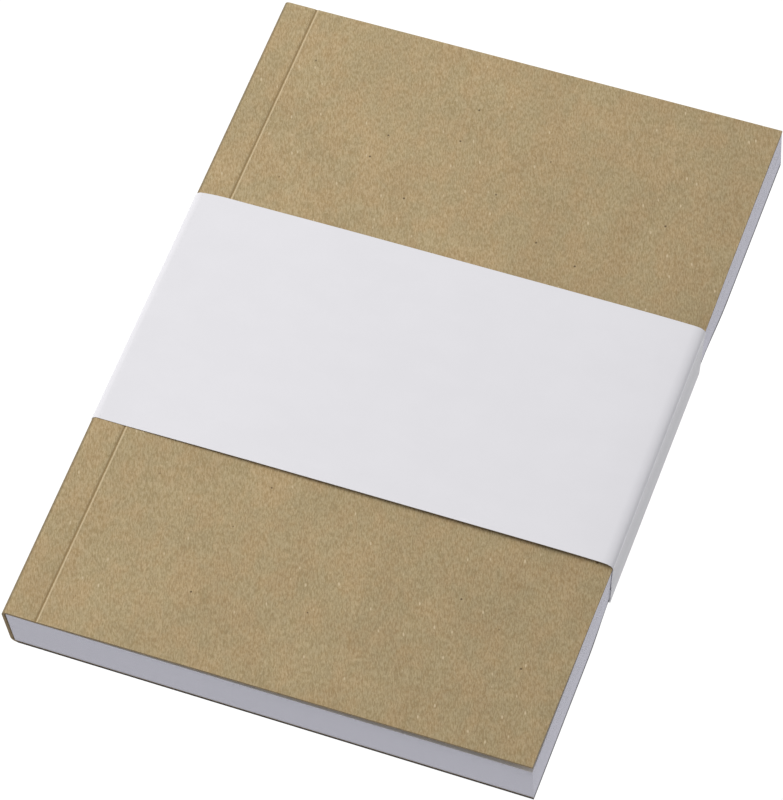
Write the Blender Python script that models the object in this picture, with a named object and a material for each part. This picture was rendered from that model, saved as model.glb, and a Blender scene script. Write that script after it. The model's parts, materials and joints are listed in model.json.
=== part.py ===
"""Pocket notebook: a perfect-bound A6 notebook in a scored kraft card cover, closed by a paper belly band.

The frame is metres, +X from spine to fore-edge, +Y from tail to head and +Z up, with the origin under the
middle of the closed book. Lengths below are millimetres, and x is counted from the outside of the spine.
"""

import math

import bmesh
import bpy

MM = 0.001

# Page size (A6) and card
BOOK_WIDTH = 105.0
BOOK_LENGTH = 148.0
CARD = 0.5
CARD_EDGE_ROUND = 0.06
SPINE_ROUND = 0.45
SCORE_X = 7.0
SCORE_GAP = 0.3

# Belly band: one strip of paper, cut at the two scores so that each length can follow its cover
BAND_PAPER = 0.15
BAND_WIDTH = 54.8
BAND_CENTRE_Y = -1.8
BAND_CLEARANCE = 0.05
BAND_CORNER = 0.5
LAP_HEIGHT = 4.0
LAP_GAP = 0.2
SEAL_PAPER = 0.1
SEAL_LENGTH = 20.0

# Text block: each leaf node is two leaves
LEAF_NODES = 48
LEAF_PITCH = 0.2
LEAF_GAP = 0.01
LEAF_WIDTH = 104.9
TOP_LEAF_ROOT_X = 7.35
LEAF_ROOT_STEP = 0.04
LEAF_ROOT_THICKNESS = 0.02
LEAF_TAPER = 8.0
BOUND_START_X = 0.9
BOUND_GAP = 0.3

# Glue films
SPINE_GLUE_START_X = 0.53
SPINE_GLUE_END_X = 0.88
SIDE_GLUE_SPACE = 0.15
SIDE_GLUE_FILM = 0.11
SIDE_GLUE_START_X = 1.0
SIDE_GLUE_END_X = 6.5
GLUE_SETBACK = 0.6

# Heights
BACK_Z = BAND_PAPER + BAND_CLEARANCE
BLOCK_Z = BACK_Z + CARD + SIDE_GLUE_SPACE
BLOCK_TOP_Z = BLOCK_Z + LEAF_NODES * LEAF_PITCH
FRONT_Z = BLOCK_TOP_Z + SIDE_GLUE_SPACE
FRONT_TOP_Z = FRONT_Z + CARD
BAND_TOP_Z = FRONT_TOP_Z + BAND_CLEARANCE
TOTAL_Z = BAND_TOP_Z + BAND_PAPER
FRONT_AXIS_Z = TOTAL_Z + 0.05
BACK_AXIS_Z = -0.05

# Fore-edge walls of the band, and the shift that puts the middle of the whole over the origin
INNER_LAP_X = BOOK_WIDTH + BAND_CLEARANCE
OUTER_LAP_X = INNER_LAP_X + BAND_PAPER + LAP_GAP
BAND_END_X = OUTER_LAP_X + BAND_PAPER
BAND_SPINE_X = -BAND_CLEARANCE - BAND_PAPER
SHIFT_X = -(BAND_SPINE_X + BAND_END_X) / 2

ARC_STEPS = 6


def clear_scene():
    for item in list(bpy.data.objects):
        bpy.data.objects.remove(item, do_unlink=True)


def material(name, colour, roughness):
    made = bpy.data.materials.new(name)
    made.use_nodes = True
    shader = made.node_tree.nodes["Principled BSDF"]
    shader.inputs["Base Color"].default_value = (*colour, 1.0)
    shader.inputs["Roughness"].default_value = roughness
    shader.inputs["Metallic"].default_value = 0.0
    return made


def arc(centre, radius, start, end):
    """Points (x, z) along an arc from the angle start to the angle end, in degrees."""
    points = []
    for step in range(ARC_STEPS + 1):
        angle = math.radians(start + (end - start) * step / ARC_STEPS)
        points.append((centre[0] + radius * math.cos(angle), centre[1] + radius * math.sin(angle)))
    return points


def box_outline(x0, x1, z0, z1):
    return [(x0, z0), (x1, z0), (x1, z1), (x0, z1)]


def extrude_outline(name, outline, length, centre_y, axis, paint):
    """One closed body: an outline in x and z drawn out along Y, with its origin at axis = (x, z)."""
    shape = bmesh.new()
    start_y = -length / 2 * MM
    ring = [shape.verts.new(((x - axis[0]) * MM, start_y, (z - axis[1]) * MM)) for x, z in outline]
    face = shape.faces.new(ring)
    drawn = bmesh.ops.extrude_face_region(shape, geom=[face])
    moved = [item for item in drawn["geom"] if isinstance(item, bmesh.types.BMVert)]
    bmesh.ops.translate(shape, verts=moved, vec=(0.0, length * MM, 0.0))
    bmesh.ops.recalc_face_normals(shape, faces=shape.faces)
    mesh = bpy.data.meshes.new(name)
    shape.to_mesh(mesh)
    shape.free()
    body = bpy.data.objects.new(name, mesh)
    bpy.context.scene.collection.objects.link(body)
    body.location = ((axis[0] + SHIFT_X) * MM, centre_y * MM, axis[1] * MM)
    mesh.materials.append(paint)
    return body


def soften(body, width):
    """Takes the sharp arris off the cut edges of a card."""
    bevel = body.modifiers.new("Cut edge", "BEVEL")
    bevel.width = width * MM
    bevel.segments = 2
    bevel.limit_method = "ANGLE"
    bevel.angle_limit = math.radians(40.0)


def make_covers(kraft):
    """The one piece of card, cut at its two scores: front panel, spine with its hinge strips, back panel."""
    panel_start = SCORE_X + SCORE_GAP / 2
    front = extrude_outline(
        "front_cover",
        box_outline(panel_start, BOOK_WIDTH, FRONT_Z, FRONT_TOP_Z),
        BOOK_LENGTH, 0.0, (SCORE_X, FRONT_AXIS_Z), kraft,
    )
    back = extrude_outline(
        "back_cover",
        box_outline(panel_start, BOOK_WIDTH, BACK_Z, BACK_Z + CARD),
        BOOK_LENGTH, 0.0, (SCORE_X, BACK_AXIS_Z), kraft,
    )
    soften(front, CARD_EDGE_ROUND)
    soften(back, CARD_EDGE_ROUND)

    strip_end = SCORE_X - SCORE_GAP / 2
    low = (SPINE_ROUND, BACK_Z + SPINE_ROUND)
    high = (SPINE_ROUND, FRONT_TOP_Z - SPINE_ROUND)
    channel = [(strip_end, BACK_Z)] + arc(low, SPINE_ROUND, 270.0, 180.0)
    channel += arc(high, SPINE_ROUND, 180.0, 90.0) + [(strip_end, FRONT_TOP_Z), (strip_end, FRONT_Z)]
    channel += [(CARD, FRONT_Z), (CARD, BACK_Z + CARD), (strip_end, BACK_Z + CARD)]
    extrude_outline("cover_spine", channel, BOOK_LENGTH, 0.0, (0.0, 0.0), kraft)


def make_glue(glue):
    """The hot-melt on the bound edge and the two side films under the hinge strips."""
    length = BOOK_LENGTH - 2 * GLUE_SETBACK
    film_gap = (SIDE_GLUE_SPACE - SIDE_GLUE_FILM) / 2
    films = {
        "spine_glue": (SPINE_GLUE_START_X, SPINE_GLUE_END_X, BLOCK_Z, BLOCK_TOP_Z),
        "side_glue_back": (
            SIDE_GLUE_START_X, SIDE_GLUE_END_X, BLOCK_Z - film_gap - SIDE_GLUE_FILM, BLOCK_Z - film_gap,
        ),
        "side_glue_front": (
            SIDE_GLUE_START_X, SIDE_GLUE_END_X, FRONT_Z - film_gap - SIDE_GLUE_FILM, FRONT_Z - film_gap,
        ),
    }
    for name, limits in films.items():
        extrude_outline(name, box_outline(*limits), length, 0.0, (0.0, 0.0), glue)


def make_leaves(paper):
    """The bound margin of all the leaves, then the turning part of each pair, tapered to its bending line.

    The bending lines lean toward the spine from the bottom pair to the top one, so that the pairs fan out
    with none passing through its neighbour.
    """
    bound_top_x = TOP_LEAF_ROOT_X - BOUND_GAP
    bound_low_x = bound_top_x + LEAF_ROOT_STEP * LEAF_NODES
    bound = [
        (BOUND_START_X, BLOCK_Z), (bound_low_x, BLOCK_Z),
        (bound_top_x, BLOCK_TOP_Z), (BOUND_START_X, BLOCK_TOP_Z),
    ]
    extrude_outline("bound_margin", bound, BOOK_LENGTH, 0.0, (0.0, 0.0), paper)
    half = (LEAF_PITCH - LEAF_GAP) / 2
    root = LEAF_ROOT_THICKNESS / 2
    for index in range(LEAF_NODES):
        middle = BLOCK_Z + LEAF_PITCH * (index + 0.5)
        root_x = TOP_LEAF_ROOT_X + LEAF_ROOT_STEP * (LEAF_NODES - 1 - index)
        taper_end = root_x + LEAF_TAPER
        outline = [
            (root_x, middle - root),
            (taper_end, middle - half),
            (LEAF_WIDTH, middle - half),
            (LEAF_WIDTH, middle + half),
            (taper_end, middle + half),
            (root_x, middle + root),
        ]
        name = f"leaf_pair_{index + 1:02d}"
        extrude_outline(name, outline, BOOK_LENGTH, 0.0, (root_x, middle), paper)


def make_band(paper, glue):
    """The belly band: it laps on the fore-edge, with the front length outside the short rise of the back one."""
    strip_end = SCORE_X - SCORE_GAP / 2
    panel_start = SCORE_X + SCORE_GAP / 2
    outer = BAND_CORNER
    inner = BAND_CORNER - BAND_PAPER

    front = [(panel_start, BAND_TOP_Z)]
    front += arc((OUTER_LAP_X - inner, BAND_TOP_Z - inner), inner, 90.0, 0.0)
    front += [(OUTER_LAP_X, 0.0), (BAND_END_X, 0.0)]
    front += arc((BAND_END_X - outer, TOTAL_Z - outer), outer, 0.0, 90.0)
    front += [(panel_start, TOTAL_Z)]
    extrude_outline("band_front", front, BAND_WIDTH, BAND_CENTRE_Y, (SCORE_X, FRONT_AXIS_Z), paper)

    wrap = [(strip_end, 0.0)]
    wrap += arc((BAND_SPINE_X + outer, outer), outer, 270.0, 180.0)
    wrap += arc((BAND_SPINE_X + outer, TOTAL_Z - outer), outer, 180.0, 90.0)
    wrap += [(strip_end, TOTAL_Z), (strip_end, BAND_TOP_Z)]
    wrap += arc((BAND_SPINE_X + outer, TOTAL_Z - outer), inner, 90.0, 180.0)
    wrap += arc((BAND_SPINE_X + outer, outer), inner, 180.0, 270.0)
    wrap += [(strip_end, BAND_PAPER)]
    extrude_outline("band_spine", wrap, BAND_WIDTH, BAND_CENTRE_Y, (0.0, 0.0), paper)

    lap_end = INNER_LAP_X + BAND_PAPER
    back = [(panel_start, 0.0), (lap_end, 0.0), (lap_end, LAP_HEIGHT), (INNER_LAP_X, LAP_HEIGHT)]
    back += [(INNER_LAP_X, BAND_PAPER), (panel_start, BAND_PAPER)]
    extrude_outline("band_back", back, BAND_WIDTH, BAND_CENTRE_Y, (SCORE_X, BACK_AXIS_Z), paper)

    film_gap = (LAP_GAP - SEAL_PAPER) / 2
    seal = box_outline(lap_end + film_gap, OUTER_LAP_X - film_gap, 1.0, LAP_HEIGHT - 1.0)
    extrude_outline("band_seal", seal, SEAL_LENGTH, BAND_CENTRE_Y, (SCORE_X, BACK_AXIS_Z), glue)


def main():
    clear_scene()
    kraft = material("kraft_card", (0.41, 0.31, 0.19), 0.85)
    leaf_paper = material("leaf_paper", (0.86, 0.86, 0.88), 0.8)
    band_paper = material("band_paper", (0.84, 0.84, 0.87), 0.55)
    hot_melt = material("binding_glue", (0.78, 0.74, 0.62), 0.4)
    make_covers(kraft)
    make_glue(hot_melt)
    make_leaves(leaf_paper)
    make_band(band_paper, hot_melt)


main()
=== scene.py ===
"""Looks of the pocket notebook: card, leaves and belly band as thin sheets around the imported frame."""

import json
import math
import random

import bmesh
import bpy
import numpy as np
from mathutils import Euler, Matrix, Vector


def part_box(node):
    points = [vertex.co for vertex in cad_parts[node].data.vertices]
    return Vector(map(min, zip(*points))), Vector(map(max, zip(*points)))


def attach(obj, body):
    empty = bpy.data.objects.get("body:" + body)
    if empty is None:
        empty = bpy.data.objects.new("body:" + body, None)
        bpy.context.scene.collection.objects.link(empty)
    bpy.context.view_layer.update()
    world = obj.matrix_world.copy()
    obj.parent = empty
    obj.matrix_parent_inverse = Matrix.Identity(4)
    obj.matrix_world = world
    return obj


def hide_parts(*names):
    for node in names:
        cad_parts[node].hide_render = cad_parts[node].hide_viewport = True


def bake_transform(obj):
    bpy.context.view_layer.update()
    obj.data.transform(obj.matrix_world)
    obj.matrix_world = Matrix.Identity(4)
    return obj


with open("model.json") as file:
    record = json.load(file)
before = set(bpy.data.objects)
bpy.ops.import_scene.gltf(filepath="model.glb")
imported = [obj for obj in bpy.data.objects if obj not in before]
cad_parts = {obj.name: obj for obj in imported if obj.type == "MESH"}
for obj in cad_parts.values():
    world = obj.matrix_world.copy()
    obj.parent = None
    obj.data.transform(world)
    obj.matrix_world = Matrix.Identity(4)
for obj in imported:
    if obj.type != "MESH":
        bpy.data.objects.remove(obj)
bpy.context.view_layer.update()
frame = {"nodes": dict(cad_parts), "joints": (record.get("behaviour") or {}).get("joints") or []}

MM = 0.001

# Places read from the frame
FRONT_LOW, FRONT_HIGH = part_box("front_cover")
BACK_LOW, BACK_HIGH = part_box("back_cover")
SPINE_LOW, SPINE_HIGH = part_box("cover_spine")
BOUND_LOW, BOUND_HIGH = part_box("bound_margin")
BAND_LOW, BAND_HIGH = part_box("band_front")
LEAF_NODES = sorted(name for name in frame["nodes"] if name.startswith("leaf_pair_"))
JOINTS = {joint["name"]: joint for joint in frame["joints"]}
SCORE_X = (SPINE_HIGH[0] + FRONT_LOW[0]) / 2
TAIL_Y, HEAD_Y = FRONT_LOW[1], FRONT_HIGH[1]
FORE_X = FRONT_HIGH[0]
BAND_TAIL_Y, BAND_HEAD_Y = BAND_LOW[1], BAND_HIGH[1]
LAP_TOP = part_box("band_back")[1][2]

# The card: the score, the lift of the front, the sag of the back, and the lean of the spine and fore-edge
CARD = FRONT_HIGH[2] - FRONT_LOW[2]
CARD_CORNER = 1.0 * MM
SCORE_DEPTH = 0.13 * MM
SCORE_HALF_WIDTH = 0.26 * MM
SCORE_LIP = 0.05 * MM
SCORE_LIP_OFFSET = 1.8 * SCORE_HALF_WIDTH
FINE_BEFORE_SCORE = 1.6 * MM
FINE_AFTER_SCORE = 2.2 * MM
LIFT_BAND = 0.2 * MM
LIFT_TAIL = 1.8 * MM
LIFT_HEAD = 0.6 * MM
LIFT_POWER = 0.85
BACK_SETBACK = 0.16 * MM
BACK_SAG = 0.12 * MM
BACK_SAG_FADE = 8.0 * MM
BACK_SCORE_SHARE = 0.5
SPINE_LEAN = 0.75 * MM
SPINE_LEAN_REACH = 6.5 * MM
SQUEEZE = 0.4 * MM
SQUEEZE_REACH = 20.0 * MM
SQUEEZE_FADE = 14.0 * MM
PRESS = 0.42 * MM
PRESS_REACH = 3.5 * MM
CARD_ROWS = 60

# The leaves. TOP_LEAF_FADE is a count of leaves
LEAVES_IN_NODE = 2
LEAF_PAPER = 0.094 * MM
LEAF_TRIM = 0.005 * MM
BEND_REACH = 13.0 * MM
FINE_BEFORE_BEND = 1.0 * MM
FINE_AFTER_BEND = 3.0 * MM
TOP_LEAF_LIFT = 0.5 * MM
TOP_LEAF_FADE = 14.0
LEAF_ROWS = 24

# The band. BOW_START and BOW_RISE are shares of the way from the spine to the fore-edge
BAND_PAPER = 0.12 * MM
BAND_CARD_GAP = 0.04 * MM
BAND_BOW = 0.30 * MM
BOW_START = 0.04
BOW_RISE = 0.3
BAND_CORNER_WIDE = 2.4 * MM
BAND_CORNER_DEEP = 0.95 * MM
BAND_SPINE_CORNER = 1.5 * MM
BAND_TOP_GAP = 0.33 * MM
BAND_WALL_GAP = 0.13 * MM
BAND_FOOT_GAP = 0.08 * MM
BAND_LAP_INSET = 0.01 * MM
LAP_BEND = 0.3 * MM
SEAL_FILM = 0.01 * MM
BAND_LIFT_FADE = 3.0 * MM
BAND_DIP_REACH = 14.0 * MM
BAND_TAIL_CURL = 0.08 * MM
BAND_CURL_REACH = 5.0 * MM
BAND_CURL_START = 8.0 * MM
BAND_SKEW = 0.55 * MM
BAND_SKEW_REACH = 7.0 * MM
WALL_SAG = 0.13 * MM
WALL_SAG_REACH = 0.5 * MM
WALL_SLANT_TAIL = 1.5 * MM
WALL_SLANT_HEAD = 3.0 * MM
BAND_ROWS = 30
FILM_ROWS = 12

# Points nearer than SAME_PLACE count as one, and an edge of over SHARP_FROM degrees is shown sharp
SAME_PLACE = 1e-7
SHARP_FROM = 50.0

# Colours, in sRGB from 0 to 255
KRAFT_COLOUR = (176, 154, 112)
KRAFT_DARK = (139, 116, 79)
KRAFT_PALE = (211, 193, 160)
KRAFT_WARM = (183, 149, 108)
KRAFT_COOL = (163, 153, 119)
KRAFT_SPECK = (78, 60, 40)
# the card's cut edge: its own darker brown, made darker still as painted shade
KRAFT_EDGE_AND_SHADE = (124, 108, 84)
# painted shade: near black for the back card's cut edge and for the leaf edges just above it
PAINTED_BACK_SHADE = (50, 47, 50)
PAGE_COLOUR = (229, 228, 232)
# the leaf paper, darker and bluer on the sides of the block as painted shade
PAGE_EDGE_SHADED = (213, 212, 223)
BAND_COLOUR = (226, 225, 230)
GLUE_COLOUR = (214, 204, 176)

# The fibres of the card lie this many degrees off the spine
FIBRE_TURN = 20.0

# Camera, floor and light
CAMERA_PLACE = (196.1 * MM, -417.5 * MM, 744.5 * MM)
CAMERA_TURN = (31.607, 3.234, 20.272)
CAMERA_LENS = 208.3
FLOOR_Z = -0.11
FLOOR_REACH = 6.0
FLOOR_GREY = 0.12
FLOOR_GLOW = 0.97
SKY_STRENGTH = 0.38
SKY_SEEN_STRENGTH = 1.05
KEY_POWER = 15.6
KEY_SIZE = 1.1
KEY_PLACE = (-0.70, 0.30, 1.10)

chance = random.Random(7)


def linear(colour):
    """An sRGB colour, 0 to 255, as the linear values that a shader takes."""
    shares = [value / 255 for value in colour]
    return tuple(s / 12.92 if s <= 0.04045 else ((s + 0.055) / 1.055) ** 2.4 for s in shares)


# ---------------------------------------------------------------- materials


class Shader:
    """A Principled material whose textures read the piece's place at rest, in millimetres."""

    def __init__(self, name):
        self.material = bpy.data.materials.new(name)
        self.material.use_nodes = True
        self.tree = self.material.node_tree
        self.surface = self.tree.nodes["Principled BSDF"]

    def node(self, kind, **settings):
        made = self.tree.nodes.new(kind)
        for key, value in settings.items():
            setattr(made, key, value)
        return made

    def link(self, source, target):
        self.tree.links.new(source, target)

    def place(self, size, turn=0.0):
        """The place at rest in a frame turned about Z by turn degrees, counted in features of size mm."""
        mapping = self.node("ShaderNodeMapping", vector_type="TEXTURE")
        mapping.inputs["Scale"].default_value = [value * MM for value in size]
        mapping.inputs["Rotation"].default_value = (0.0, 0.0, math.radians(turn))
        source = self.node("ShaderNodeAttribute", attribute_name="rest_place")
        self.link(source.outputs["Vector"], mapping.inputs["Vector"])
        return mapping.outputs["Vector"]

    def axes(self):
        """The X, Y and Z of the place at rest, in millimetres."""
        parts = self.node("ShaderNodeSeparateXYZ")
        self.link(self.place((1.0, 1.0, 1.0)), parts.inputs["Vector"])
        return parts.outputs["X"], parts.outputs["Y"], parts.outputs["Z"]

    def noise(self, vector, detail, roughness=0.55, distortion=0.0):
        made = self.node("ShaderNodeTexNoise")
        made.inputs["Scale"].default_value = 1.0
        made.inputs["Detail"].default_value = detail
        made.inputs["Roughness"].default_value = roughness
        made.inputs["Distortion"].default_value = distortion
        self.link(vector, made.inputs["Vector"])
        return made.outputs["Fac"]

    def band(self, value, low, high, to_low=0.0, to_high=1.0):
        """value, from low to high, moved to the range to_low to to_high and held there outside it."""
        made = self.node("ShaderNodeMapRange", interpolation_type="SMOOTHSTEP")
        limits = {"From Min": low, "From Max": high, "To Min": to_low, "To Max": to_high}
        for name, number in limits.items():
            made.inputs[name].default_value = number
        self.link(value, made.inputs["Value"])
        return made.outputs["Result"]

    def soft(self, value, to_low=0.0, to_high=1.0):
        """The part of a noise that most of it lies in, 0.3 to 0.7, moved to the range to_low to to_high."""
        return self.band(value, 0.3, 0.7, to_low, to_high)

    def mix(self, factor, first, second, blend="MIX"):
        """A colour mix. first and second are each a colour or an output."""
        made = self.node("ShaderNodeMix", data_type="RGBA", blend_type=blend)
        if isinstance(factor, float):
            made.inputs["Factor"].default_value = factor
        else:
            self.link(factor, made.inputs["Factor"])
        for socket, value in zip((made.inputs[6], made.inputs[7]), (first, second)):
            if isinstance(value, tuple):
                socket.default_value = (*value, 1.0)
            else:
                self.link(value, socket)
        return made.outputs[2]

    def maths(self, operation, first, second):
        made = self.node("ShaderNodeMath", operation=operation)
        for socket, value in zip(made.inputs, (first, second)):
            if isinstance(value, float):
                socket.default_value = value
            else:
                self.link(value, socket)
        return made.outputs[0]

    def product(self, first, *others):
        """first times each of the others, which are numbers or outputs."""
        for other in others:
            first = self.maths("MULTIPLY", first, other)
        return first

    def bump(self, height, distance, strength, normal=None):
        made = self.node("ShaderNodeBump")
        made.inputs["Distance"].default_value = distance
        made.inputs["Strength"].default_value = strength
        self.link(height, made.inputs["Height"])
        if normal:
            self.link(normal, made.inputs["Normal"])
        return made.outputs["Normal"]

    def finish(self, colour, roughness, normal, specular=0.5):
        self.surface.inputs["Specular IOR Level"].default_value = specular
        self.link(colour, self.surface.inputs["Base Color"])
        self.link(roughness, self.surface.inputs["Roughness"])
        self.link(normal, self.surface.inputs["Normal"])
        return self.material


def specks(shader, spacing, size, share, longer=1.0):
    """1 inside soft specks of size mm, and 0 elsewhere. Cells are spacing mm wide, and a share of them holds
    a speck each."""
    cells = shader.node("ShaderNodeTexVoronoi", feature="F1")
    cells.inputs["Scale"].default_value = 1.0
    cells.inputs["Randomness"].default_value = 1.0
    cell_size = (spacing, spacing * longer, spacing)
    shader.link(shader.place(cell_size, FIBRE_TURN), cells.inputs["Vector"])
    inside = shader.band(cells.outputs["Distance"], size / spacing, 0.45 * size / spacing)
    parts = shader.node("ShaderNodeSeparateColor")
    shader.link(cells.outputs["Color"], parts.inputs["Color"])
    chosen = shader.band(parts.outputs["Red"], share, share * 0.9)
    return shader.product(inside, chosen)


def kraft():
    """Uncoated recycled card: soft mottling, fibres nearly along the spine, flecks, painted light across it,
    and painted shade and highlight at the score.
    """
    shader = Shader("kraft_card_face")
    clouds = shader.noise(shader.place((11.0, 18.0, 11.0)), detail=4.0)
    mottle = shader.noise(shader.place((1.4, 2.2, 1.4), FIBRE_TURN), detail=3.0, distortion=0.6)
    fibre_place = shader.place((0.24, 0.85, 0.24), FIBRE_TURN)
    fibres = shader.noise(fibre_place, detail=2.0, roughness=0.6, distortion=0.4)
    hue = shader.noise(shader.place((4.5, 6.0, 4.5)), detail=3.0)
    short_fibres = shader.noise(shader.place((0.42, 0.5, 0.42), FIBRE_TURN), detail=3.0, distortion=1.0)
    grain = shader.noise(shader.place((0.14, 0.2, 0.14)), detail=2.0)

    colour = shader.mix(shader.soft(fibres), linear(KRAFT_DARK), linear(KRAFT_PALE))
    tint = shader.mix(shader.band(hue, 0.35, 0.65), linear(KRAFT_COOL), linear(KRAFT_WARM))
    tint = shader.mix(0.68, tint, linear(KRAFT_COLOUR))
    colour = shader.mix(0.62, colour, tint)
    shade = shader.product(
        shader.soft(clouds, 0.955, 1.035),
        shader.soft(mottle, 0.965, 1.03),
        shader.soft(short_fibres, 0.95, 1.045),
        shader.soft(grain, 0.975, 1.025),
        # painted light: paler toward the spine and the head, and darker along the spine fold
        painted_light_and_fold(shader),
    )
    grey = shader.node("ShaderNodeCombineColor")
    for socket in grey.inputs[:3]:
        shader.link(shade, socket)
    colour = shader.mix(1.0, colour, grey.outputs["Color"], blend="MULTIPLY")
    dark = shader.product(specks(shader, spacing=3.6, size=0.30, share=0.26), 0.8)
    colour = shader.mix(dark, colour, linear(KRAFT_SPECK))
    pale = shader.product(specks(shader, spacing=1.5, size=0.22, share=0.34, longer=2.4), 0.75)
    colour = shader.mix(pale, colour, linear(KRAFT_PALE))
    # painted shade in the score's groove and a painted highlight on its lip
    colour = painted_score_shading(shader, colour, fibres)

    height = shader.maths("ADD", fibres, shader.product(grain, 0.5))
    normal = shader.bump(height, 0.05 * MM, strength=0.55)
    shader.surface.inputs["Sheen Weight"].default_value = 0.06
    return shader.finish(colour, shader.soft(mottle, 0.80, 0.92), normal, specular=0.25)


def painted_light_and_fold(shader):
    """Painted light over the card: paler toward the spine and the head, where the key light falls stronger,
    and darker along the spine fold.
    """
    x, y, _ = shader.axes()
    left, right = SPINE_LOW[0] / MM, FORE_X / MM
    across = shader.band(x, left + 15.0, right + 30.0, 1.0, 0.87)
    along = shader.band(y, TAIL_Y / MM - 40.0, HEAD_Y / MM + 20.0, 0.955, 1.005)
    fold = shader.band(x, left + 0.5, left + 1.05, 0.56, 1.0)
    return shader.product(across, along, fold)


def painted_score_shading(shader, colour, fibres):
    """Paints shade into the pressed line of the score and a highlight on the lip beside it, broken up by the
    fibres.
    """
    x, _, _ = shader.axes()
    wander = shader.product(shader.maths("SUBTRACT", fibres, 0.5), 0.12)
    across = shader.maths("ADD", shader.maths("SUBTRACT", x, SCORE_X / MM), wander)
    from_lip = shader.maths("SUBTRACT", across, 0.38)
    pressed = shader.band(shader.maths("ABSOLUTE", across, 0.0), 0.27, 0.06, 0.0, 0.85)
    lip = shader.band(shader.maths("ABSOLUTE", from_lip, 0.0), 0.24, 0.06, 0.0, 0.55)
    colour = shader.mix(pressed, colour, linear(KRAFT_DARK))
    return shader.mix(lip, colour, linear(KRAFT_PALE))


def card_edge(name, deep):
    """The cut edge of the card: darker than its face, partly its own colour and partly painted shade, with
    the layers of the board drawn out along it.
    """
    shader = Shader(name)
    layers = shader.noise(shader.place((1.2, 1.2, 0.11)), detail=3.0, roughness=0.7)
    pits = shader.noise(shader.place((0.33, 0.33, 0.17)), detail=2.0)
    pale = tuple(1.45 * value for value in linear(deep))
    colour = shader.mix(shader.soft(layers), linear(deep), pale)
    colour = shader.mix(shader.band(pits, 0.6, 0.75, 0.0, 0.5), colour, linear(KRAFT_SPECK))
    normal = shader.bump(layers, 0.05 * MM, strength=0.6)
    return shader.finish(colour, shader.soft(pits, 0.85, 0.95), normal, specular=0.2)


def page_face():
    """Uncoated writing paper: almost even, with a faint cloudiness and a fine tooth."""
    shader = Shader("leaf_paper_face")
    cloud = shader.noise(shader.place((4.0, 4.0, 4.0)), detail=4.0)
    tooth = shader.noise(shader.place((0.17, 0.25, 0.17)), detail=3.0)
    dim = tuple(0.955 * value for value in linear(PAGE_COLOUR))
    colour = shader.mix(shader.soft(cloud), dim, linear(PAGE_COLOUR))
    normal = shader.bump(tooth, 0.02 * MM, strength=0.4)
    return shader.finish(colour, shader.soft(tooth, 0.72, 0.84), normal, specular=0.3)


def page_edge():
    """The trimmed edges of the leaves, darker and bluer than the faces as painted shade: fine lines along the
    block, some darker, painted shade in the gaps, marks of the knife, and painted shade low on the block and
    on the tail."""
    shader = Shader("leaf_paper_edge")
    lines = shader.noise(shader.place((50.0, 50.0, 0.3)), detail=4.0, roughness=0.7)
    drag = shader.noise(shader.place((1.4, 1.4, 8.0)), detail=3.0)
    # painted shade in the gaps between the leaves
    gap_shade = shader.band(lines, 0.40, 0.30, 0.0, 0.3)
    base = linear(PAGE_EDGE_SHADED)
    dim = tuple(0.93 * value for value in base)
    colour = shader.mix(shader.band(lines, 0.35, 0.65), dim, base)
    colour = shader.mix(gap_shade, colour, tuple(0.75 * value for value in base))
    colour = shader.mix(shader.band(drag, 0.55, 0.75, 0.0, 0.25), colour, dim)
    _, y, z = shader.axes()
    # painted shade low on the block, next to the back cover
    low = shader.band(z, BOUND_LOW[2] / MM, BOUND_LOW[2] / MM + 0.8, 0.75, 0.0)
    colour = shader.mix(low, colour, linear(PAINTED_BACK_SHADE))
    # painted shade on the tail face, which the key light reaches less than the fore-edge
    tail = shader.band(y, TAIL_Y / MM + 0.02, TAIL_Y / MM + 0.1, 0.8, 0.0)
    colour = shader.mix(tail, colour, tuple(0.82 * value for value in base))
    normal = shader.bump(drag, 0.01 * MM, strength=0.3)
    return shader.finish(colour, shader.soft(drag, 0.82, 0.92), normal, specular=0.2)


def band_sheet():
    """Smooth white paper with a slight gloss and a faint long ripple, with painted shade on the fore-edge
    wall.
    """
    shader = Shader("band_paper_face")
    cloud = shader.noise(shader.place((9.0, 6.0, 9.0)), detail=4.0)
    tooth = shader.noise(shader.place((0.2, 0.2, 0.2)), detail=3.0)
    ripple = shader.noise(shader.place((30.0, 12.0, 30.0)), detail=1.0)
    dim = tuple(0.984 * value for value in linear(BAND_COLOUR))
    colour = shader.mix(shader.soft(cloud), dim, linear(BAND_COLOUR))
    colour = shader.mix(shader.band(tooth, 0.45, 0.8, 0.0, 0.12), colour, dim)
    x, _, z = shader.axes()
    outer = shader.band(x, FORE_X / MM - 0.5, FORE_X / MM - 0.3)
    below = shader.band(z, FRONT_HIGH[2] / MM - 0.1, FRONT_HIGH[2] / MM - 1.3)
    # painted shade: the fore-edge wall, below the cover's top, is darkened
    wall_shade = tuple(0.74 * value for value in linear(BAND_COLOUR))
    colour = shader.mix(shader.product(outer, below), colour, wall_shade)
    normal = shader.bump(ripple, 0.12 * MM, strength=0.35)
    normal = shader.bump(tooth, 0.012 * MM, strength=0.4, normal=normal)
    return shader.finish(colour, shader.soft(tooth, 0.46, 0.60), normal, specular=0.4)


def glue_film():
    """Set hot-melt: slightly yellow, cloudy, with a pulled surface."""
    shader = Shader("binding_glue_film")
    pulls = shader.noise(shader.place((0.8, 4.0, 0.8)), detail=3.0, distortion=0.5)
    cloud = shader.noise(shader.place((2.5, 7.0, 2.5)), detail=2.0)
    deep = tuple(0.82 * value for value in linear(GLUE_COLOUR))
    colour = shader.mix(shader.soft(cloud), deep, linear(GLUE_COLOUR))
    normal = shader.bump(pulls, 0.08 * MM, strength=0.6)
    return shader.finish(colour, shader.soft(pulls, 0.28, 0.45), normal)


# ---------------------------------------------------------------- sheets


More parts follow.
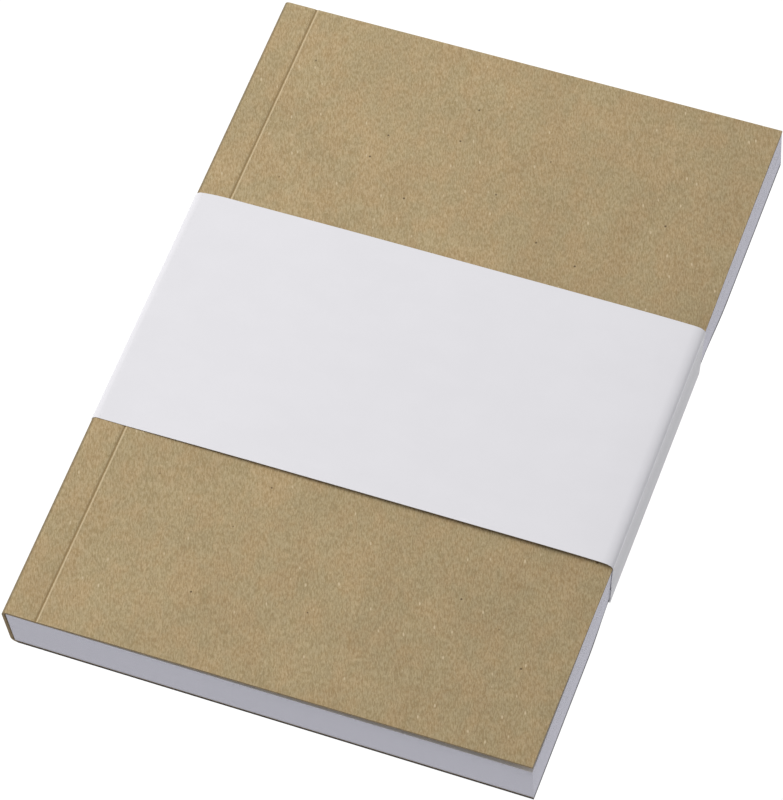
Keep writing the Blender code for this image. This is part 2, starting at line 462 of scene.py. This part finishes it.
def arc(centre, wide, start, end, steps=8, deep=None):
    """Points (x, z) from the angle start to the angle end, in degrees, on a circle of radius wide, or on an
    ellipse of half axes wide and deep."""
    deep = deep or wide
    angles = [math.radians(start + (end - start) * step / steps) for step in range(steps + 1)]
    return [(centre[0] + wide * math.cos(angle), centre[1] + deep * math.sin(angle)) for angle in angles]


def spread(start, end, count):
    """count + 1 even values from start to end."""
    return [start + (end - start) * (step / count) for step in range(count + 1)]


def without_repeats(points):
    """The points of a path, less each one that lies on the one before."""
    kept = [points[0]]
    for point in points[1:]:
        if math.dist(point, kept[-1]) > SAME_PLACE:
            kept.append(point)
    return kept


def sheet_parts(path, thickness, stations, warp):
    """Points, faces and rim marks of one closed sheet. path, of (x, z), is its middle, drawn out along Y over
    the stations. A rim mark is 1 on a face of the sheet's cut edge, and 0 on its two sides."""
    path = np.array(without_repeats(path))
    along = np.gradient(path, axis=0)
    along /= np.linalg.norm(along, axis=1)[:, None]
    across = np.stack([-along[:, 1], along[:, 0]], axis=1) * thickness / 2
    stations = np.array(stations)
    columns, rows = len(path), len(stations)
    points = []
    for side in (1.0, -1.0):
        section = path + side * across
        x, y = np.meshgrid(section[:, 0], stations, indexing="ij")
        z = np.repeat(section[:, 1][:, None], rows, axis=1)
        points.append(np.stack([x, y, z], axis=2).reshape(-1, 3))

    half = columns * rows
    faces, rims = [], []
    for i in range(columns - 1):
        for j in range(rows - 1):
            a, b = i * rows + j, (i + 1) * rows + j
            c, d = b + 1, a + 1
            faces += [(a, b, c, d), (d + half, c + half, b + half, a + half)]
            rims += [0, 0]
    outline = [i * rows for i in range(columns)]
    outline += [(columns - 1) * rows + j for j in range(1, rows)]
    outline += [i * rows + rows - 1 for i in range(columns - 2, -1, -1)]
    outline += list(range(rows - 2, 0, -1))
    for a, b in zip(outline, outline[1:] + outline[:1]):
        faces.append((b, a, a + half, b + half))
        rims.append(1)
    return warp(np.concatenate(points)), faces, rims


def sheet_piece(name, sheets, face_paint, edge_paint):
    """One object from sheets, a list of (path, thickness, stations, warp)."""
    points, faces, rims = [], [], []
    for path, thickness, stations, warp in sheets:
        new_points, new_faces, new_rims = sheet_parts(path, thickness, stations, warp)
        start = sum(len(group) for group in points)
        points.append(new_points)
        faces += [tuple(index + start for index in face) for face in new_faces]
        rims += new_rims
    places = np.concatenate(points)
    mesh = bpy.data.meshes.new(name)
    mesh.from_pydata(places.tolist(), [], faces)
    mesh.polygons.foreach_set("material_index", rims)
    mesh.polygons.foreach_set("use_smooth", [True] * len(faces))
    mesh.materials.append(face_paint)
    mesh.materials.append(edge_paint)
    rest = mesh.attributes.new("rest_place", "FLOAT_VECTOR", "POINT")
    rest.data.foreach_set("vector", places.astype(np.float32).ravel())
    shape = bmesh.new()
    shape.from_mesh(mesh)
    bmesh.ops.recalc_face_normals(shape, faces=shape.faces)
    shape.to_mesh(mesh)
    shape.free()
    mesh.set_sharp_from_angle(angle=math.radians(SHARP_FROM))
    piece = bpy.data.objects.new(name, mesh)
    bpy.context.scene.collection.objects.link(piece)
    return piece


def smooth(value):
    """value held to 0 to 1, with a soft start and end."""
    value = np.clip(value, 0.0, 1.0)
    return value * value * (3 - 2 * value)


def settle(points):
    """How the wrapped notebook has settled. The foot of the spine stands toward the fore-edge, and the band
    draws the foot of the fore-edge in and presses its top corner down."""
    x, y, z = points[:, 0].copy(), points[:, 1], points[:, 2]
    height = np.clip((z - BACK_LOW[2]) / (FRONT_HIGH[2] - BACK_LOW[2]), 0.0, 1.0)
    near_spine = smooth(1.0 - (x - SPINE_LOW[0]) / SPINE_LEAN_REACH)
    near_edge = smooth(1.0 - (FORE_X - x) / SQUEEZE_REACH)
    past_tail = smooth((BAND_TAIL_Y - y) / SQUEEZE_FADE)
    past_head = smooth((y - BAND_HEAD_Y) / SQUEEZE_FADE)
    held = 1.0 - past_tail - past_head
    points[:, 0] += (SPINE_LEAN * near_spine - SQUEEZE * near_edge * held) * (1.0 - height)
    corner = np.clip(1.0 - (FORE_X - x) / PRESS_REACH, 0.0, 1.0) ** 2
    points[:, 2] -= PRESS * corner * held * height**2
    return points


def cover_lift(x, y):
    """How far the front cover stands off the block. The band holds it down, and its corners spring up."""
    out = np.clip((x - SCORE_X) / (FORE_X - SCORE_X), 0.0, 1.0) ** LIFT_POWER
    to_tail = smooth((BAND_TAIL_Y - y) / (BAND_TAIL_Y - TAIL_Y))
    to_head = smooth((y - BAND_HEAD_Y) / (HEAD_Y - BAND_HEAD_Y))
    return out * (LIFT_BAND + LIFT_TAIL * to_tail + LIFT_HEAD * to_head)


def score_press(x):
    """Height change across the score: a pressed groove with a low lip on its fore-edge side."""
    groove = np.exp(-((x - SCORE_X) / SCORE_HALF_WIDTH) ** 2)
    lip = np.exp(-((x - SCORE_X - SCORE_LIP_OFFSET) / SCORE_HALF_WIDTH) ** 2)
    return SCORE_LIP * lip - SCORE_DEPTH * groove


def front_warp(points):
    """Lifts and scores the front panel, and leaves the spine and what is under it as drawn."""
    on_top = points[:, 2] > (SPINE_LOW[2] + SPINE_HIGH[2]) / 2
    past_corner = points[:, 0] > SPINE_LOW[0] + 2 * CARD_CORNER
    x, y = points[:, 0], points[:, 1]
    points[:, 2] += np.where(on_top & past_corner, cover_lift(x, y) + score_press(x), 0.0)
    return settle(points)


def back_warp(points):
    """Scores the back panel from below, sets its fore-edge back, and lets it sag off the band."""
    y = points[:, 1]
    points[:, 2] -= BACK_SCORE_SHARE * score_press(points[:, 0])
    reach = np.clip((points[:, 0] - SCORE_X) / (FORE_X - SCORE_X), 0.0, 1.0)
    points[:, 0] -= BACK_SETBACK * reach
    off_band = smooth((BAND_TAIL_Y - y) / BACK_SAG_FADE) + smooth((y - BAND_HEAD_Y) / BACK_SAG_FADE)
    points[:, 2] -= BACK_SAG * off_band
    return settle(points)


def panel_columns(start):
    """x places across a cover: close together over the score, wide apart beyond it."""
    before, after = SCORE_X - FINE_BEFORE_SCORE, SCORE_X + FINE_AFTER_SCORE
    return spread(start, before, 6) + spread(before, after, 34) + spread(after, FORE_X, 36)


def make_covers(face_paint, front_edge, back_edge):
    """The card as two sheets: the front panel with the spine and the turn below it, and the back panel."""
    middle_top = FRONT_HIGH[2] - CARD / 2
    middle_low = BACK_LOW[2] + CARD / 2
    middle_spine = SPINE_LOW[0] + CARD / 2
    stations = spread(TAIL_Y, HEAD_Y, CARD_ROWS)
    corner_x = middle_spine + CARD_CORNER

    path = arc((corner_x, middle_low + CARD_CORNER), CARD_CORNER, 268.0, 180.0)
    path += [(middle_spine, z) for z in spread(middle_low + CARD_CORNER, middle_top - CARD_CORNER, 8)]
    path += arc((corner_x, middle_top - CARD_CORNER), CARD_CORNER, 180.0, 90.0)
    path += [(x, middle_top) for x in panel_columns(corner_x)]
    sheets = [(path, CARD, stations, front_warp)]
    front = sheet_piece("kraft_front_and_spine", sheets, face_paint, front_edge)
    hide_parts("front_cover", "cover_spine")
    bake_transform(front)

    path = [(x, middle_low) for x in panel_columns(corner_x)][::-1]
    back = sheet_piece("kraft_back", [(path, CARD, stations, back_warp)], face_paint, back_edge)
    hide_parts("back_cover")
    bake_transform(back)


def make_leaves(face_paint, edge_paint):
    """Two leaves for each leaf node, from the glued margin to the fore-edge, with close columns beside the
    margin.
    """
    total = len(LEAF_NODES) * LEAVES_IN_NODE
    pitch = (BOUND_HIGH[2] - BOUND_LOW[2]) / total
    for order, node in enumerate(LEAF_NODES):
        hinge = JOINTS[node + "_turn"]["pos_m"]
        end_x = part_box(node)[1][0]
        before, after = hinge[0] - FINE_BEFORE_BEND, hinge[0] + BEND_REACH + FINE_AFTER_BEND
        sheets = []
        for part in range(LEAVES_IN_NODE):
            count = order * LEAVES_IN_NODE + part
            middle = BOUND_LOW[2] + pitch * (count + 0.5)
            trim = chance.uniform(-LEAF_TRIM, LEAF_TRIM)
            lift = TOP_LEAF_LIFT * math.exp(-(total - 1 - count) / TOP_LEAF_FADE)

            def warp(points, lift=lift):
                """Lifts the top leaves a little with the cover, each by its own lift."""
                x, y = points[:, 0], points[:, 1]
                points[:, 2] += lift * cover_lift(x, y) / (LIFT_BAND + LIFT_TAIL)
                return settle(points)

            columns = spread(BOUND_LOW[0], before, 3)
            columns += spread(before, after, 22)
            columns += spread(after, end_x + trim, 8)
            tail = TAIL_Y + chance.uniform(0.0, LEAF_TRIM)
            head = HEAD_Y - chance.uniform(0.0, LEAF_TRIM)
            stations = spread(tail, head, LEAF_ROWS)
            sheets.append(([(x, middle) for x in columns], LEAF_PAPER, stations, warp))
        piece = sheet_piece(node + "_leaves", sheets, face_paint, edge_paint)
        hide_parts(node, "bound_margin")
        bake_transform(piece)


def band_bow(x):
    """The band's front stands a little off the cover over the middle, and comes down at the fore-edge."""
    across = np.clip((x - SPINE_LOW[0]) / (FORE_X - SPINE_LOW[0]), 0.0, 1.0)
    rise = np.clip((across - BOW_START) / BOW_RISE, 0.0, 1.0)
    fall = np.clip((FORE_X - x) / BAND_DIP_REACH, 0.0, 1.0)
    return BAND_BOW * smooth(rise) * (1.0 - (1.0 - fall) ** 2)


def band_warp(points):
    """Lays the band on the lifted cover, curls its tail edge up, skews its head end at the spine, slants its
    wall at the fore-edge toward the tail, and sags that wall in above the lap."""
    x, y, z = points[:, 0], points[:, 1], points[:, 2]
    high = smooth((z - FRONT_HIGH[2] + BAND_LIFT_FADE) / BAND_LIFT_FADE)
    low = 1.0 - np.clip(z / FRONT_HIGH[2], 0.0, 1.0)
    inward = np.clip((x - SCORE_X) / BAND_CURL_START, 0.0, 1.0)
    across = np.clip((x - SPINE_LOW[0]) / (FORE_X - SPINE_LOW[0]), 0.0, 1.0)
    middle = (BAND_TAIL_Y + BAND_HEAD_Y) / 2
    rise = cover_lift(x, np.full(len(points), middle)) + band_bow(x) + BAND_TOP_GAP * smooth(across)
    curl = BAND_TAIL_CURL * smooth(1.0 - (y - BAND_TAIL_Y) / BAND_CURL_REACH)
    share = (y - BAND_TAIL_Y) / (BAND_HEAD_Y - BAND_TAIL_Y)
    near_spine = np.clip(1.0 - (x - SPINE_LOW[0]) / BAND_SKEW_REACH, 0.0, 1.0)
    slant = WALL_SLANT_TAIL + (WALL_SLANT_HEAD - WALL_SLANT_TAIL) * share
    upper = np.clip((z - LAP_TOP) / (FRONT_HIGH[2] - LAP_TOP), 0.0, 1.0)
    on_wall = smooth(1.0 - (FORE_X - x) / WALL_SAG_REACH)
    sag = WALL_SAG * np.sin(math.pi * upper) * on_wall
    points[:, 1] -= BAND_SKEW * share * near_spine**2 + slant * low * across
    points[:, 0] = settle(points.copy())[:, 0] - sag
    points[:, 2] += (rise + curl * inward) * high
    return points


def make_band(paint):
    """The band in three lengths that meet at the scores. It returns the x of the lap's middle."""
    top_z = FRONT_HIGH[2] + BAND_CARD_GAP + BAND_PAPER / 2
    low_z = BAND_PAPER / 2
    head_x = FORE_X + BAND_WALL_GAP + BAND_PAPER / 2
    foot_x = FORE_X + BAND_FOOT_GAP + BAND_PAPER / 2
    spine_x = SPINE_LOW[0] - BAND_CARD_GAP - BAND_PAPER / 2
    stations = spread(BAND_TAIL_Y, BAND_HEAD_Y, BAND_ROWS)
    corner_x, corner_z = head_x - BAND_CORNER_WIDE, top_z - BAND_CORNER_DEEP

    front_path = [(x, top_z) for x in spread(SCORE_X, corner_x, 50)]
    front_path += arc((corner_x, corner_z), BAND_CORNER_WIDE, 90.0, 0.0, steps=18, deep=BAND_CORNER_DEEP)
    front_path += list(zip(spread(head_x, foot_x, 14), spread(corner_z, low_z, 14)))

    inner_x = spine_x + BAND_SPINE_CORNER
    foot_z, head_z = low_z + BAND_SPINE_CORNER, top_z - BAND_SPINE_CORNER
    spine_path = [(x, low_z) for x in spread(SCORE_X, inner_x, 6)]
    spine_path += arc((inner_x, foot_z), BAND_SPINE_CORNER, 270.0, 180.0)
    spine_path += [(spine_x, z) for z in spread(foot_z, head_z, 10)]
    spine_path += arc((inner_x, head_z), BAND_SPINE_CORNER, 180.0, 90.0)
    spine_path += [(x, top_z) for x in spread(inner_x, SCORE_X, 10)]

    lap_x = FORE_X - BAND_LAP_INSET
    bend_x, bend_z = lap_x - LAP_BEND, low_z + LAP_BEND
    back_path = [(lap_x, z) for z in spread(LAP_TOP, bend_z, 6)]
    back_path += arc((bend_x, bend_z), LAP_BEND, 0.0, -90.0)
    back_path += [(x, low_z) for x in spread(bend_x, SCORE_X, 30)]

    for node, path in (("band_front", front_path), ("band_spine", spine_path), ("band_back", back_path)):
        sheets = [(path, BAND_PAPER, stations, band_warp)]
        length = sheet_piece(node + "_length", sheets, paint, paint)
        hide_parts(node)
        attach(length, node)
    return lap_x


def make_seal(lap_x, paint):
    """The film of glue between the lap and the wall of the band."""
    low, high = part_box("band_seal")
    film_x = lap_x + BAND_PAPER / 2 + SEAL_FILM
    path = [(film_x, z) for z in spread(low[2], high[2], 6)]
    sheets = [(path, SEAL_FILM, spread(low[1], high[1], FILM_ROWS), band_warp)]
    seal = sheet_piece("band_seal_film", sheets, paint, paint)
    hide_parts("band_seal")
    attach(seal, "band_back")


def make_glue(paint):
    """The three films of the binding, each drawn through its CAD box and leaning with the spine."""
    for name in ("spine_glue", "side_glue_front", "side_glue_back"):
        low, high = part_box(name)
        size = [high[axis] - low[axis] for axis in range(3)]
        stations = spread(low[1], high[1], FILM_ROWS)
        if size[0] < size[2]:
            middle = (low[0] + high[0]) / 2
            path = [(middle, z) for z in spread(low[2], high[2], 12)]
        else:
            middle = (low[2] + high[2]) / 2
            path = [(x, middle) for x in spread(low[0], high[0], 12)]
        sheets = [(path, min(size), stations, settle)]
        glue = sheet_piece(name + "_film", sheets, paint, paint)
        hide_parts(name)
        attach(glue, "bound_edge")


# ---------------------------------------------------------------- studio


def make_floor():
    """A plain white floor, low enough for the back cover to swing down above it."""
    mesh = bpy.data.meshes.new("studio_floor")
    signs = ((-1, -1), (1, -1), (1, 1), (-1, 1))
    corners = [(x * FLOOR_REACH, y * FLOOR_REACH, FLOOR_Z) for x, y in signs]
    mesh.from_pydata(corners, [], [(0, 1, 2, 3)])
    floor = bpy.data.objects.new("studio_floor", mesh)
    bpy.context.scene.collection.objects.link(floor)
    paint = bpy.data.materials.new("studio_white")
    paint.use_nodes = True
    surface = paint.node_tree.nodes["Principled BSDF"]
    surface.inputs["Base Color"].default_value = (FLOOR_GREY, FLOOR_GREY, FLOOR_GREY, 1.0)
    surface.inputs["Roughness"].default_value = 1.0
    surface.inputs["Specular IOR Level"].default_value = 0.0
    surface.inputs["Emission Color"].default_value = (1.0, 1.0, 1.0, 1.0)
    surface.inputs["Emission Strength"].default_value = FLOOR_GLOW
    mesh.materials.append(paint)


def make_sky():
    """White where the camera sees the sky, and a weaker, even light on the notebook."""
    world = bpy.data.worlds.new("studio_sky")
    bpy.context.scene.world = world
    world.use_nodes = True
    tree = world.node_tree
    lit = tree.nodes["Background"]
    lit.inputs["Color"].default_value = (0.97, 0.98, 1.0, 1.0)
    lit.inputs["Strength"].default_value = SKY_STRENGTH
    seen = tree.nodes.new("ShaderNodeBackground")
    seen.inputs["Color"].default_value = (1.0, 1.0, 1.0, 1.0)
    seen.inputs["Strength"].default_value = SKY_SEEN_STRENGTH
    path = tree.nodes.new("ShaderNodeLightPath")
    choice = tree.nodes.new("ShaderNodeMixShader")
    tree.links.new(path.outputs["Is Camera Ray"], choice.inputs["Fac"])
    tree.links.new(lit.outputs["Background"], choice.inputs[1])
    tree.links.new(seen.outputs["Background"], choice.inputs[2])
    tree.links.new(choice.outputs["Shader"], tree.nodes["World Output"].inputs["Surface"])


def make_key():
    """A large soft light high on the spine side, toward the head."""
    data = bpy.data.lights.new("key_light", "AREA")
    data.energy = KEY_POWER
    data.size = KEY_SIZE
    data.color = (1.0, 0.99, 0.97)
    light = bpy.data.objects.new("key_light", data)
    light.location = KEY_PLACE
    away = light.location.normalized()
    light.rotation_euler = away.to_track_quat("Z", "Y").to_euler()
    bpy.context.scene.collection.objects.link(light)


def make_camera():
    """The camera at the photograph's angle, as fitted to the corners that show."""
    data = bpy.data.cameras.new("camera")
    data.lens = CAMERA_LENS
    data.sensor_width = 36.0
    data.sensor_fit = "HORIZONTAL"
    data.clip_start = 0.01
    data.clip_end = 50.0
    camera = bpy.data.objects.new("camera", data)
    camera.location = CAMERA_PLACE
    camera.rotation_euler = Euler([math.radians(turn) for turn in CAMERA_TURN], "XYZ")
    bpy.context.scene.collection.objects.link(camera)
    bpy.context.scene.camera = camera


def main():
    make_camera()
    make_floor()
    make_sky()
    make_key()
    bpy.context.scene.view_settings.view_transform = "Standard"
    card_face = kraft()
    # the front cut edge: its own brown, darkened further as painted shade
    front_edge = card_edge("kraft_cut_edge", KRAFT_EDGE_AND_SHADE)
    # the back cut edge painted near black as painted shade under the book
    back_edge = card_edge("kraft_cut_edge_back", PAINTED_BACK_SHADE)
    make_covers(card_face, front_edge, back_edge)
    make_leaves(page_face(), page_edge())
    lap_x = make_band(band_sheet())
    glue = glue_film()
    make_seal(lap_x, glue)
    make_glue(glue)


main()
